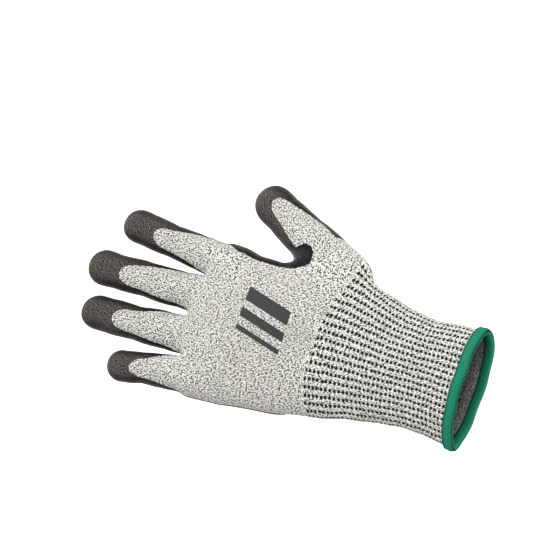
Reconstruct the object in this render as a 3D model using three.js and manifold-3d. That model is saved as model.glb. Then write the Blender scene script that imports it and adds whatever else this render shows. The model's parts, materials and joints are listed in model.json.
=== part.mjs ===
// Cut resistant work glove, left hand, filled out as if worn. Millimetres, +Z up.
// The glove hangs from the wrist: the origin is the centre of the cuff mouth, the fingertips point
// down (-Z), the back of the hand faces -Y, the palm +Y, the thumb -X and the little finger +X.
//
// The glove is a seamless knitted liner with a dipped film over the palm and the fingertips, and a
// sewn binding round the cuff mouth. Liner and film are divided at the lines where the glove folds:
// the wrist, and the root, middle and end joint of each finger.

import * as THREE from 'three';
import { mergeVertices } from 'three/addons/utils/BufferGeometryUtils.js';
import Module from 'manifold-3d';

const wasm = await Module();
wasm.setup();

// ---------------------------------------------------------------- driving dimensions

const KNIT_WALL = 1.2; // thickness of the knitted liner
const FILM_GAP = 0.3; // clearance between liner and film, and between all touching pieces
const FILM_WALL = 0.5; // thickness of the dipped film
const FILM_OUT = FILM_GAP + FILM_WALL; // how far the film stands out from the liner

const FINGER_SIDES = 14; // facets round a finger
const HAND_SIDES = 28; // facets round the palm and the cuff
const TIP_RINGS = [0.5, 0.87]; // heights of the rings that round a fingertip off, 1 = the very tip

// length of the tip that is dipped all round
const TIP_DIP = { index: 22, middle: 22, ring: 22, little: 15, thumb: 13 };
const FILM_EDGE = 0.35; // where the film ends on the finger's sides, in half depths behind its middle
const HEEL_Z = -103; // the film's edge at the heel of the palm
const PALM_FILM_EDGE_Y = -3; // the film's edge along the sides of the palm

const WRIST_Z = -84; // fold line between cuff and hand
const WRIST_BEND = 40; // degrees, both ways
const FOLD_GAP = 1.0; // clearance between two neighbouring pieces on a fold line
const FOLD_REACH = 24; // the fold wedges are cut to this distance from the fold line

const ROOT_BEND = { flex: 50, extend: 10 }; // degrees, finger root
const MIDDLE_BEND = { flex: 70, extend: 0 }; // degrees, middle joint
const END_BEND = { flex: 42, extend: 0 }; // degrees, end joint
const THUMB_ROOT_BEND = { flex: 40, extend: 10 }; // degrees
const THUMB_END_BEND = { flex: 50, extend: 0 }; // degrees

const BINDING_HEIGHT = 6.8; // sewn binding, measured down the outside of the cuff
const BINDING_WALL = 1.0;
const STITCH_THREAD = 0.6; // thread thickness of the two stitch rows
const STITCH_LEVELS = { upper: -1.2, lower: -5.6 };

// Where each finger leaves the palm, its tip, and half its width and depth at root and tip.
const FINGERS = {
  index: { root: [-34, 0, -176], tip: [-41.2, 0, -237], width: [9.8, 8.7], depth: [9.2, 7.9] },
  middle: { root: [-11.6, 0, -180], tip: [-12.9, 0, -251], width: [10.4, 9.1], depth: [9.4, 8.1] },
  ring: { root: [12.2, 0, -180], tip: [13.8, 0, -246.4], width: [10.6, 9.0], depth: [9.2, 7.9] },
  little: { root: [34.4, 0, -176], tip: [39.8, 0, -220.2], width: [9.7, 8.2], depth: [8.5, 7.2] },
};
const FINGER_ROOT_FOLD = 9; // from where the finger leaves the palm to its first fold
const FINGER_FOLDS = { middle: 0.36, end: 0.68 }; // as parts of the length beyond the first fold
const FINGER_START = 16; // the finger's solid begins this far inside the palm
const FINGER_START_DEPTH = 0.7; // and there it is flatter, so that it sinks into the palm
const FINGER_WAIST = 0.45; // part of the length where width and depth are the mean of both ends
const FINGER_TIP_ROUND = 1.15; // length of the rounded end, in half widths

const THUMB = { root: [-42, 3, -92], tip: [-78, 9, -165] };
const THUMB_FOLDS = { root: 0.5, end: 0.74 }; // as parts of the thumb's length
// distance from the thumb's root, half width, half depth
const THUMB_STATIONS = [
  [-16, 7, 7],
  [8, 14, 11.2],
  [26, 13.2, 11.2],
  [50, 11.8, 10.2],
  [68, 11.0, 9.2],
];
const THUMB_TIP_ROUND = 12; // length of the rounded end

// Liner's outside: height, centre across, half width, half depth, roundness (2 = ellipse)
const HAND_STATIONS = [
  [-181, 0, 39, 4, 2],
  [-177, 0, 42.2, 8.2, 2.2],
  [-167, 0, 43.2, 11.2, 2.3],
  [-147, -0.5, 43, 14.2, 2.4],
  [-122, -3, 43.5, 15.3, 2.3],
  [-102, -5.5, 44, 15, 2.2],
  [-84, -5, 42.5, 14.5, 2.1],
  [-70, -3.4, 38.5, 14.2, 2.1],
];
const CUFF_STATIONS = [
  [-96, -5.6, 44.5, 14.8, 2.1],
  [-84, -5, 42.5, 14.5, 2.1],
  [-68, -3, 37, 14.2, 2],
  [-50, -1, 32, 13.8, 2],
  [-33, 0, 29.6, 13.8, 2],
  [-20, 0, 30.6, 13.7, 2],
  [-9, 0, 32.8, 13.6, 1.95],
  [0, 0, 34, 13.6, 1.9],
];

const COLOURS = {
  knit: { color: 0xb9b7af, roughness: 0.95 },
  rib: { color: 0x9f9a92, roughness: 0.95 },
  film: { color: 0x1d1b1a, roughness: 0.45 },
  binding: { color: 0x22745b, roughness: 0.8 },
  thread: { color: 0x124a38, roughness: 0.8 },
};

// ---------------------------------------------------------------- solids from lofted rings

/** One ring of points round a superellipse at height z. */
function ring([z, centreX, halfWidth, halfDepth, power], sides) {
  const points = [];
  for (let i = 0; i < sides; i++) {
    const angle = (2 * Math.PI * i) / sides;
    const c = Math.cos(angle);
    const s = Math.sin(angle);
    const x = centreX + halfWidth * Math.sign(c) * Math.abs(c) ** (2 / power);
    const y = halfDepth * Math.sign(s) * Math.abs(s) ** (2 / power);
    points.push(x, y, z);
  }
  return points;
}

/** A closed solid through rings of rising height, with flat ends. */
function loft(stations, sides) {
  const positions = stations.flatMap((station) => ring(station, sides));
  const faces = [];
  const rows = stations.length;
  for (let row = 0; row < rows - 1; row++) {
    for (let i = 0; i < sides; i++) {
      const next = (i + 1) % sides;
      const [a, b] = [row * sides + i, row * sides + next];
      const [c, d] = [a + sides, b + sides];
      faces.push(a, b, d, a, d, c);
    }
  }
  const [bottom, top] = [rows * sides, rows * sides + 1];
  positions.push(stations[0][1], 0, stations[0][0]);
  positions.push(stations[rows - 1][1], 0, stations[rows - 1][0]);
  const last = (rows - 1) * sides;
  for (let i = 0; i < sides; i++) {
    const next = (i + 1) % sides;
    faces.push(bottom, next, i);
    faces.push(top, last + i, last + next);
  }
  const geometry = new THREE.BufferGeometry();
  geometry.setAttribute('position', new THREE.Float32BufferAttribute(positions, 3));
  geometry.setIndex(faces);
  return geometry;
}

/** Turns a closed geometry, placed by a matrix, into a manifold solid. */
function solid(geometry, matrix = new THREE.Matrix4()) {
  const plain = geometry.clone().applyMatrix4(matrix);
  plain.deleteAttribute('normal');
  plain.deleteAttribute('uv');
  const merged = mergeVertices(plain);
  const vertProperties = new Float32Array(merged.attributes.position.array);
  const triVerts = new Uint32Array(merged.index.array);
  return new wasm.Manifold(new wasm.Mesh({ numProp: 3, vertProperties, triVerts }));
}

/** A named part in its own material, from a manifold solid. */
function part(name, shape, look) {
  const mesh = shape.getMesh();
  const geometry = new THREE.BufferGeometry();
  geometry.setAttribute('position', new THREE.BufferAttribute(mesh.vertProperties, 3));
  geometry.setIndex(new THREE.BufferAttribute(mesh.triVerts, 1));
  geometry.computeVertexNormals();
  const material = new THREE.MeshStandardMaterial({ ...COLOURS[look], metalness: 0 });
  const result = new THREE.Mesh(geometry, material);
  result.name = name;
  return result;
}

/** An axis-aligned block between two corners. */
function block(low, high, matrix) {
  const size = high.map((value, axis) => value - low[axis]);
  const geometry = new THREE.BoxGeometry(...size);
  geometry.translate(...high.map((value, axis) => (value + low[axis]) / 2));
  return solid(geometry, matrix);
}

// ---------------------------------------------------------------- folds

const radians = THREE.MathUtils.degToRad;

/**
 * The space that a fold line needs: an hourglass across the limb, wide enough on the palm side for
 * the bend towards the palm, and on the back for the bend the other way.
 */
function foldWedge(height, halfLength, bend, matrix) {
  const half = FOLD_GAP / 2;
  const palm = FOLD_REACH * Math.tan(radians(bend.flex / 2));
  const back = FOLD_REACH * Math.tan(radians(bend.extend / 2));
  const outline = new THREE.Shape();
  outline.moveTo(0, height - half);
  outline.lineTo(-FOLD_REACH, height - half - back);
  outline.lineTo(-FOLD_REACH, height + half + back);
  outline.lineTo(0, height + half);
  outline.lineTo(FOLD_REACH, height + half + palm);
  outline.lineTo(FOLD_REACH, height - half - palm);
  const geometry = new THREE.ExtrudeGeometry(outline, { depth: 2 * halfLength, bevelEnabled: false });
  geometry.translate(0, 0, -halfLength);
  // the outline's x is the depth, its y the height, and it is extruded across the limb
  geometry.applyMatrix4(new THREE.Matrix4().set(0, 0, 1, 0, 1, 0, 0, 0, 0, 1, 0, 0, 0, 0, 0, 1));
  return solid(geometry, matrix);
}

// ---------------------------------------------------------------- fingers and thumb

/** Placement of a limb: its local -Z runs from root to tip, +X across, +Y towards the palm. */
function limbMatrix(root, tip) {
  const from = new THREE.Vector3(...root);
  const up = from.clone().sub(new THREE.Vector3(...tip)).normalize();
  const across = new THREE.Vector3(0, 1, 0).cross(up).normalize();
  const depth = up.clone().cross(across);
  return new THREE.Matrix4().makeBasis(across, depth, up).setPosition(from);
}

function limbLength({ root, tip }) {
  return new THREE.Vector3(...root).distanceTo(new THREE.Vector3(...tip));
}

/** Rings of a rounded tip: it starts at height `start`, and its very end lies at `end`. */
function tipStations(start, end, halfWidth, halfDepth) {
  const rounded = TIP_RINGS.map((part) => {
    const shrink = Math.sqrt(1 - part * part);
    return [start + (end - start) * part, 0, halfWidth * shrink, halfDepth * shrink, 2];
  });
  return rounded.reverse();
}

/** Rings of a whole finger, tip first, with its surface moved out by `offset`. */
function fingerStations(finger, offset) {
  const length = limbLength(finger);
  const [rootWidth, tipWidth] = finger.width.map((value) => value + offset);
  const [rootDepth, tipDepth] = finger.depth.map((value) => value + offset);
  const roundStart = -(length - tipWidth * FINGER_TIP_ROUND);
  return [
    ...tipStations(roundStart, -length - offset, tipWidth, tipDepth),
    [roundStart, 0, tipWidth, tipDepth, 2],
    [-length * FINGER_WAIST, 0, (rootWidth + tipWidth) / 2, (rootDepth + tipDepth) / 2, 2],
    [0, 0, rootWidth, rootDepth, 2],
    [FINGER_START, 0, rootWidth, rootDepth * FINGER_START_DEPTH, 2],
  ];
}

function thumbStations(offset) {
  const length = limbLength(THUMB);
  const body = THUMB_STATIONS.map(([distance, width, depth]) => {
    return [-distance, 0, width + offset, depth + offset, 2];
  }).reverse();
  const [, , tipWidth, tipDepth] = body[0];
  const roundStart = -(length - THUMB_TIP_ROUND);
  return [...tipStations(roundStart, -length - offset, tipWidth, tipDepth), ...body];
}

/** Everything that a finger or the thumb needs: its solids, its folds and where the film ends. */
function limb(name, spec, stationsAt, folds) {
  const matrix = limbMatrix(spec.root, spec.tip);
  const length = limbLength(spec);
  const shape = (offset) => solid(loft(stationsAt(offset), FINGER_SIDES), matrix);
  return { name, matrix, length, shape, folds, halfDepth: stationsAt(0).at(-2)[3] };
}

const fingers = Object.entries(FINGERS).map(([name, spec]) => {
  const beyond = limbLength(spec) - FINGER_ROOT_FOLD;
  return limb(name, spec, (offset) => fingerStations(spec, offset), [
    { height: -FINGER_ROOT_FOLD, bend: ROOT_BEND },
    { height: -FINGER_ROOT_FOLD - beyond * FINGER_FOLDS.middle, bend: MIDDLE_BEND },
    { height: -FINGER_ROOT_FOLD - beyond * FINGER_FOLDS.end, bend: END_BEND },
  ]);
});

const thumbLength = limbLength(THUMB);
const thumb = limb('thumb', THUMB, thumbStations, [
  { height: -thumbLength * THUMB_FOLDS.root, bend: THUMB_ROOT_BEND },
  { height: -thumbLength * THUMB_FOLDS.end, bend: THUMB_END_BEND },
]);

const LIMB_REACH = 40; // sideways reach of the blocks that pick one stretch of a limb

function limbWedges(item) {
  return item.folds.map(({ height, bend }) => foldWedge(height, FOLD_REACH, bend, item.matrix));
}

/** The stretch of a limb between two heights, as a block. */
function stretch(item, low, high) {
  return block([-LIMB_REACH, -LIMB_REACH, low], [LIMB_REACH, LIMB_REACH, high], item.matrix);
}

/** The region that was dipped: the palm side, and the whole of the fingertip. */
function dippedRegion(item) {
  const edge = -item.halfDepth * FILM_EDGE;
  const low = -item.length - LIMB_REACH;
  const palmSide = block([-LIMB_REACH, edge, low], [LIMB_REACH, LIMB_REACH, LIMB_REACH], item.matrix);
  return palmSide.add(stretch(item, low, -item.length + TIP_DIP[item.name]));
}

/** The pieces of one limb beyond its first fold: a knitted stall and its film for each stretch. */
function limbParts(item, segmentNames) {
  const liner = item.shape(0).subtract(item.shape(-KNIT_WALL));
  const film = item.shape(FILM_OUT).subtract(item.shape(FILM_GAP)).intersect(dippedRegion(item));
  const wedges = limbWedges(item);
  const parts = [];
  segmentNames.forEach((segment, index) => {
    const high = item.folds[index].height;
    const low = item.folds[index + 1]?.height ?? -item.length - LIMB_REACH;
    const reach = stretch(item, low, high);
    for (const [layer, whole, look] of [['stall', liner, 'knit'], ['film', film, 'film']]) {
      const cut = wedges.reduce((shape, wedge) => shape.subtract(wedge), whole.intersect(reach));
      parts.push(part(`${item.name}_${segment}_${layer}`, cut, look));
    }
  });
  return parts;
}

// ---------------------------------------------------------------- hand and cuff

function grown(stations, offset) {
  return stations.map(([z, x, width, depth, power]) => [z, x, width + offset, depth + offset, power]);
}

/** The palm with the roots of all fingers and the thumb, its surface moved out by `offset`. */
function handSolid(offset) {
  const palmStations = grown(HAND_STATIONS, offset);
  palmStations[0] = [palmStations[0][0] - offset, ...palmStations[0].slice(1)];
  let hand = solid(loft(palmStations, HAND_SIDES));
  for (const item of [...fingers, thumb]) {
    const rootStretch = stretch(item, item.folds[0].height - LIMB_REACH / 8, LIMB_REACH);
    hand = hand.add(item.shape(offset).intersect(rootStretch));
  }
  return hand;
}

const wristWedge = foldWedge(WRIST_Z, 2 * LIMB_REACH, { flex: WRIST_BEND, extend: WRIST_BEND });
const HAND_REACH = 120; // sideways reach of the blocks that pick the hand or the cuff

function handParts() {
  const below = block([-HAND_REACH, -HAND_REACH, -3 * HAND_REACH], [HAND_REACH, HAND_REACH, WRIST_Z]);
  const dipped = block(
    [-HAND_REACH, PALM_FILM_EDGE_Y, -3 * HAND_REACH],
    [HAND_REACH, HAND_REACH, HEEL_Z],
  );
  let liner = handSolid(0).subtract(handSolid(-KNIT_WALL)).intersect(below).subtract(wristWedge);
  let film = handSolid(FILM_OUT).subtract(handSolid(FILM_GAP)).intersect(dipped);
  for (const item of [...fingers, thumb]) {
    const wedge = limbWedges(item)[0];
    const beyond = stretch(item, item.folds[0].height - LIMB_REACH, item.folds[0].height);
    const ownSide = beyond.intersect(item.shape(FILM_OUT + FILM_GAP));
    liner = liner.subtract(wedge.intersect(item.shape(FILM_OUT + FILM_GAP))).subtract(ownSide);
    film = film.subtract(wedge.intersect(item.shape(FILM_OUT + FILM_GAP))).subtract(ownSide);
  }
  return [part('hand_shell', liner, 'knit'), part('palm_film', film, 'film')];
}

/** The space between two offsets of the cuff's surface, from one height to another. */
function cuffBand(inner, outer, low, high) {
  const slice = block([-HAND_REACH, -HAND_REACH, low], [HAND_REACH, HAND_REACH, high]);
  const outside = solid(loft(grown(CUFF_STATIONS, outer), HAND_SIDES));
  const stretched = grown(CUFF_STATIONS, inner);
  stretched[stretched.length - 1][0] += KNIT_WALL;
  stretched[0][0] -= KNIT_WALL;
  return outside.subtract(solid(loft(stretched, HAND_SIDES))).intersect(slice);
}

function cuffParts() {
  const ribTop = -BINDING_WALL - FILM_GAP;
  const rib = cuffBand(-KNIT_WALL, 0, WRIST_Z, ribTop).subtract(wristWedge);
  const outside = FILM_GAP + BINDING_WALL;
  const channel = cuffBand(-KNIT_WALL - FILM_GAP, FILM_GAP, -2 * BINDING_HEIGHT, -BINDING_WALL);
  const binding = cuffBand(-KNIT_WALL - outside, outside, -BINDING_HEIGHT, 0).subtract(channel);
  const stitches = Object.entries(STITCH_LEVELS).map(([name, level]) => {
    const inner = outside + FILM_GAP;
    const half = STITCH_THREAD / 2;
    const thread = cuffBand(inner, inner + STITCH_THREAD, level - half, level + half);
    return part(`binding_stitch_${name}`, thread, 'thread');
  });
  return [part('cuff_rib', rib, 'rib'), part('cuff_binding', binding, 'binding'), ...stitches];
}

// ---------------------------------------------------------------- the glove

const glove = new THREE.Group();
glove.add(...cuffParts());
glove.add(...handParts());
for (const item of fingers) {
  glove.add(...limbParts(item, ['proximal', 'middle', 'distal']));
}
glove.add(...limbParts(thumb, ['proximal', 'distal']));

export default glove;
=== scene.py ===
"""Looks of a cut resistant work glove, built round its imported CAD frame. Metres, +Z up.

The glove hangs from its cuff: fingertips to -Z, back of the hand to -Y, palm to +Y, thumb to -X.
One smooth surface of the whole glove comes from a distance field. It is cut where the glove folds,
and each stretch becomes a knitted piece and, where it was dipped, a film that lies on the knit.
"""

import json
import math

import bmesh
import bpy
import numpy as np
from mathutils import Matrix, Vector


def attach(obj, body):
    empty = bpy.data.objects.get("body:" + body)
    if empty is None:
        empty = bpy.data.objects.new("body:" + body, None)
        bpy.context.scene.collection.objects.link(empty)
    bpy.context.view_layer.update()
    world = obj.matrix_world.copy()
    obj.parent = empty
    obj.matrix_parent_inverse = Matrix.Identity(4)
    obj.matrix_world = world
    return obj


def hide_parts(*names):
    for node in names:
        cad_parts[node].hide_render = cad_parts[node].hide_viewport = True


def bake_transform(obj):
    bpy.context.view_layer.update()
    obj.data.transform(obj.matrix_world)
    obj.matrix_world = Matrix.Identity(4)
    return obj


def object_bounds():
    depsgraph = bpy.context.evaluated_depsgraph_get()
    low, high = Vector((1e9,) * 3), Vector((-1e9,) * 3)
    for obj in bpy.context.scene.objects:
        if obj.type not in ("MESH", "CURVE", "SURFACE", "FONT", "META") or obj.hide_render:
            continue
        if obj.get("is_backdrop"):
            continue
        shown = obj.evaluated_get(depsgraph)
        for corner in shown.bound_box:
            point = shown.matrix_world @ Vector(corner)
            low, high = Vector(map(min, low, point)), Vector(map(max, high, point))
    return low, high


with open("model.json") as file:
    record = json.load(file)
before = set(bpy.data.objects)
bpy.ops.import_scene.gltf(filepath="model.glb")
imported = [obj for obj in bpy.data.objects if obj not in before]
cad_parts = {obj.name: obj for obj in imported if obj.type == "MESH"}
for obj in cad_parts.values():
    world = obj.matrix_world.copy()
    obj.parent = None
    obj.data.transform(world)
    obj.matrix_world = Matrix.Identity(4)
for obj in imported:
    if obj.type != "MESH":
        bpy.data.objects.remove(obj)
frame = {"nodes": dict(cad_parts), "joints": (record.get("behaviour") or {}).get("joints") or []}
CAD_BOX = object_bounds()

# ------------------------------------------------------------------ driving sizes, in metres

KNIT_WALL = 0.0012
FILM_STEP = 0.00042  # how far the film stands proud of the knit
FILM_EDGE_STEP = 0.00005  # the same, at its feathered edge
FILM_FEATHER = 0.0016  # length of that feathered edge
FILM_SINK = 0.0002  # how deep the film reaches into the knit
GRID = 0.00105  # spacing of the distance field's grid
GRID_MARGIN = 0.004
GRID_DEPTH = (-0.021, 0.024)  # from behind the back of the hand to beyond the palm
GRID_ABOVE_WRIST = 0.010
GRID_PARTS = 8  # the grid is worked out in parts, to save memory
FIELD_STEP = 0.0002  # to either side, when the slope of the field is measured
TURN_STEPS = 1441  # of the tables that measure a section's edge

FINGER_WEB = 0.004  # rounding where the fingers leave the palm
THUMB_WEB = 0.009
FINGER_CROTCH = 0.007  # the knit of a finger is its own from this far above its first fold
THUMB_CROTCH = 0.0075
FINGER_CAP = 0.026  # a finger's shape reaches this far into the palm above its first fold
THUMB_CAP = 0.038
# Length of each tip that was dipped all round
TIP_DIP = {"index": 0.0228, "middle": 0.0228, "ring": 0.0226, "little": 0.0158, "thumb": 0.0130}
BARE_END = 0.010  # length over which the bare knit rounds off before it
HEEL_HEIGHT = -0.104  # where the film ends at the heel of the palm

# Outline of the palm and the cuff: height, centre across, half width, back and palm half depth,
# and roundness on the thumb's side and on the little finger's side (2 is an ellipse)
SLEEVE = np.array([
    [0.010, 0.0000, 0.0349, 0.0150, 0.0154, 2.05, 1.54],
    [0.000, 0.0000, 0.0343, 0.0147, 0.0150, 2.05, 1.58],
    [-0.009, -0.0003, 0.0333, 0.0143, 0.0145, 2.0, 1.68],
    [-0.020, -0.0013, 0.0319, 0.0139, 0.0138, 2.0, 1.85],
    [-0.033, -0.0015, 0.0311, 0.0139, 0.0139, 2.0, 2.0],
    [-0.050, -0.0019, 0.0331, 0.0140, 0.0140, 2.0, 2.0],
    [-0.068, -0.0031, 0.0371, 0.0143, 0.0144, 2.05, 2.05],
    [-0.084, -0.0043, 0.0416, 0.0146, 0.0148, 2.1, 2.1],
    [-0.102, -0.0042, 0.0446, 0.0150, 0.0154, 2.2, 2.2],
    [-0.122, -0.0008, 0.0434, 0.0152, 0.0157, 2.3, 2.3],
    [-0.134, 0.0011, 0.0424, 0.0148, 0.0153, 2.3, 2.3],
    [-0.147, 0.0018, 0.0428, 0.0143, 0.0148, 2.35, 2.35],
    [-0.157, 0.0014, 0.0434, 0.0132, 0.0140, 2.3, 2.3],
    [-0.166, 0.0008, 0.0441, 0.0118, 0.0128, 2.3, 2.3],
    [-0.200, 0.0008, 0.0438, 0.0100, 0.0106, 2.2, 2.2],
])
PALM_END = -0.1768  # lowest point of the web between index and middle finger
PALM_END_DROP = 0.0034  # the web between middle and ring finger is this much lower
PALM_END_WIDTH = 0.012
PALM_ROUNDING = 0.011

# The line where the rib of the cuff becomes the plain knit of the hand
WRIST_LINE = -0.0885
WRIST_LINE_SLANT = -0.05
WRIST_LINE_BULGE = 0.0068
WRIST_LINE_HALF_WIDTH = 0.043

WALE = 0.00150  # width of one column of stitches
COURSE = 0.00118  # height of one row of stitches
EYELET_PITCH = 0.0027  # along a row of eyelets
EYELET_ROWS = 42  # rows round the cuff
EYELET_SLANT = 5 / EYELET_ROWS  # each row starts this much of a pitch after the one before
CELLS_ROUND = 10  # mesh columns for each row of eyelets
CELLS_ALONG = 6  # mesh rows for each eyelet

BINDING_HEIGHT = 0.0064
BINDING_INSIDE = 0.0050
BINDING_WALL = 0.0010
PALM_RIM_RISE = 0.0009  # the cuff's edge stands higher on the palm side, and as much lower behind
BINDING_RIBS = 148
STITCHES = 148
STITCH_SLANT = 0.12
STITCH_RADIUS = 0.00034
STITCH_HALF_LENGTH = 0.0008

SEED = 11

# ------------------------------------------------------------------ small helpers


def unit(vector):
    return vector / np.linalg.norm(vector)


def node_points(name):
    """The vertices of a CAD node, as an array."""
    vertices = frame["nodes"][name].data.vertices
    flat = np.empty(len(vertices) * 3, np.float32)
    vertices.foreach_get("co", flat)
    return flat.reshape(-1, 3).astype(float)


def reach(name, direction, origin):
    """How far a CAD node reaches along a direction: (lowest, highest)."""
    along = (node_points(name) - origin) @ direction
    return along.min(), along.max()


def smooth_min(a, b, width):
    overlap = np.maximum(width - np.abs(a - b), 0) / width
    return np.minimum(a, b) - overlap * overlap * width / 4


def smooth_max(a, b, width):
    return -smooth_min(-a, -b, width)


def signed_power(value, power):
    return np.sign(value) * np.abs(value) ** power


def ramp(value, low, high):
    """0 below low, 1 above high, smooth in between."""
    t = np.clip((value - low) / (high - low), 0, 1)
    return t * t * (3 - 2 * t)


# ------------------------------------------------------------------ fingers and thumb

JOINTS = {joint["name"]: joint for joint in frame["joints"]}


class Limb:
    """A finger or the thumb: its folds, axes and size come from the CAD frame.

    Distances along it are measured from its first fold towards the tip.
    """

    def __init__(self, name, folds, segments, crotch, start_cap):
        joints = [JOINTS[f"{name}_{fold}_fold"] for fold in folds]
        places = [np.array(joint["pos_m"]) for joint in joints]
        self.name = name
        self.bodies = ["hand"] + [f"{name}_{segment}" for segment in segments]
        self.start = places[0]
        self.across = np.array(joints[0]["axis"])
        self.along = unit(places[-1] - places[0])
        self.palmward = np.cross(self.across, self.along)
        self.folds = [float((place - self.start) @ self.along) for place in places]
        self.crotch = crotch
        self.start_cap = start_cap
        first, last = (f"{name}_{segments[i]}_stall" for i in (0, -1))
        self.length = reach(last, self.along, self.start)[1]
        self.width = self._half_size(first, last, self.across)
        self.depth = self._half_size(first, last, self.palmward)
        middles = [(a + b) / 2 for a, b in zip(self.folds, self.folds[1:])]
        self.cuts = [-crotch] + middles

    def _half_size(self, first, last, direction):
        """(half size at the first fold, its change for each metre towards the tip)."""
        sizes = []
        for node in (first, last):
            low, high = reach(node, direction, self.start)
            sizes.append((high - low) / 2)
        return sizes[0], (sizes[1] - sizes[0]) / self.folds[-1]

    def local(self, points):
        offset = points - self.start
        return offset @ self.across, offset @ self.palmward, offset @ self.along

    def half_sizes(self, along):
        clipped = np.clip(along, -self.start_cap, self.length)
        width = self.width[0] + self.width[1] * clipped
        depth = self.depth[0] + self.depth[1] * clipped
        return width, depth

    def section(self, points):
        """Place across and towards the palm, both in half sizes of the limb, and along it."""
        across, palmward, along = self.local(points)
        width, depth = self.half_sizes(along)
        return across / width, palmward / depth, along


FINGER_NAMES = ("index", "middle", "ring", "little")
FINGERS = [
    Limb(name, ("root", "middle", "end"), ("proximal", "middle", "distal"), FINGER_CROTCH, FINGER_CAP)
    for name in FINGER_NAMES
]
THUMB = Limb("thumb", ("root", "end"), ("proximal", "distal"), THUMB_CROTCH, THUMB_CAP)
LIMBS = [*FINGERS, THUMB]

# ------------------------------------------------------------------ distance field


OFF_AXIS = 1e-5  # keeps the slope from vanishing on the axis


def ellipsoid_distance(x, y, z, half_x, half_y, half_z, power):
    """About the distance from the surface |x/a|^p + |y/b|^p + |z/c|^p = 1."""
    a = np.abs(x) / half_x + OFF_AXIS
    b = np.abs(y) / half_y + OFF_AXIS
    c = np.abs(z) / half_z
    size = (a**power + b**power + c**power) ** (1 / power)
    slope = np.sqrt(
        (a ** (power - 1) / half_x) ** 2
        + (b ** (power - 1) / half_y) ** 2
        + (c ** (power - 1) / half_z) ** 2
    )
    return (size - 1) / (size ** (1 - power) * slope)


CREASE_DEPTH = 0.00055  # the palm side pulls in at each fold
CREASE_WIDTH = 0.0028
CREASE_AT_SIDES = 0.4  # and both sides by this share of it
PAD_HEIGHT = 0.0004  # the palm side swells between folds
PAD_LENGTH = 0.6  # in half stretches
TIP_ROUNDNESS = 1.02  # length of the rounded tip, in half widths
TIP_FULLNESS = 0.0006  # filled out, the tip is this much wider than the stall was knitted
TIP_FULL_FROM = 0.2  # share of the length where that starts
LIMB_POWER = 2.15


def limb_distance(points, limb):
    across, palmward, along = limb.local(points)
    width, depth = limb.half_sizes(along)
    width = width + TIP_FULLNESS * ramp(along, TIP_FULL_FROM * limb.length, limb.length)
    for fold in limb.folds:
        crease = np.exp(-(((along - fold) / CREASE_WIDTH) ** 2))
        depth = depth - CREASE_DEPTH * crease * (palmward > 0)
        width = width - CREASE_AT_SIDES * CREASE_DEPTH * crease
    for low, high in zip(limb.folds, [*limb.folds[1:], limb.length]):
        middle, half = (low + high) / 2, (high - low) / 2
        pad = np.exp(-(((along - middle) / (PAD_LENGTH * half)) ** 2))
        depth = depth + PAD_HEIGHT * pad * (palmward > 0)
    tip_round = limb.width[0] * TIP_ROUNDNESS
    past_tip = np.maximum(along - (limb.length - tip_round), 0)
    before_root = np.maximum(-limb.start_cap - along, 0)
    past_end = past_tip + before_root
    return ellipsoid_distance(across, palmward, past_end, width, depth, tip_round, LIMB_POWER)


def sleeve_shape(height):
    """Centre, half width, the two half depths and the two roundnesses of the sleeve at a height."""
    rising = SLEEVE[::-1]
    return [np.interp(height, rising[:, 0], rising[:, column]) for column in range(1, 7)]


def palm_end(across):
    return PALM_END - PALM_END_DROP * np.exp(-((across / PALM_END_WIDTH) ** 2))


def sleeve_distance(points):
    x, y, z = points.T
    centre, width, back, palm, thumb_power, little_power = sleeve_shape(z)
    across = x - centre
    depth = np.where(y < 0, back, palm)
    power = np.where(across < 0, thumb_power, little_power)
    past_end = np.maximum(palm_end(x) + PALM_ROUNDING - z, 0)
    return ellipsoid_distance(across, y, past_end, width, depth, PALM_ROUNDING, power)


RELIEF_WAVES = (  # direction, phase and height of the soft unevenness of filled-out fabric
    ((140, 60, 75), 0.3, 0.00022),
    ((-90, 110, 190), 1.9, 0.00018),
    ((210, -40, -120), 4.1, 0.00014),
    ((60, 200, 260), 2.6, 0.00010),
    ((-260, 90, 330), 5.2, 0.00007),
)


def relief(points):
    height = np.zeros(len(points))
    for direction, phase, size in RELIEF_WAVES:
        height += size * np.sin(points @ np.array(direction, float) + phase)
    return height


KNUCKLE_HEIGHT = 0.0009
KNUCKLE_SIZE = 0.010
KNUCKLE_BACK = 0.034  # from the finger's first fold


def knuckles(points):
    """Soft rises on the back of the hand behind each finger."""
    rise = np.zeros(len(points))
    for limb in FINGERS:
        across, _, along = limb.local(points)
        distance = (across / KNUCKLE_SIZE) ** 2 + ((along + KNUCKLE_BACK) / KNUCKLE_SIZE) ** 2
        rise += KNUCKLE_HEIGHT * np.exp(-distance)
    return rise * (points[:, 1] < 0)


def glove_distance(points):
    """Distance from the outside of the knit, negative inside the glove."""
    fingers = limb_distance(points, FINGERS[0])
    for limb in FINGERS[1:]:
        fingers = np.minimum(fingers, limb_distance(points, limb))
    hand = smooth_min(sleeve_distance(points), fingers, FINGER_WEB)
    hand = smooth_min(hand, limb_distance(points, THUMB), THUMB_WEB)
    return hand - relief(points) - knuckles(points)


def slope(points, axes=3):
    """Change of the distance field along the first axes."""
    result = np.empty((len(points), axes))
    for axis in range(axes):
        shift = np.zeros(3)
        shift[axis] = FIELD_STEP
        result[:, axis] = glove_distance(points + shift) - glove_distance(points - shift)
    return result / (2 * FIELD_STEP)


def gradient(points):
    """Outward normals of the distance field."""
    result = slope(points)
    return result / np.linalg.norm(result, axis=1, keepdims=True)


def settle(points, rounds=3):
    """Moves points onto the surface along the field."""
    for _ in range(rounds):
        points = points - gradient(points) * glove_distance(points)[:, None]
    return points


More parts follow.
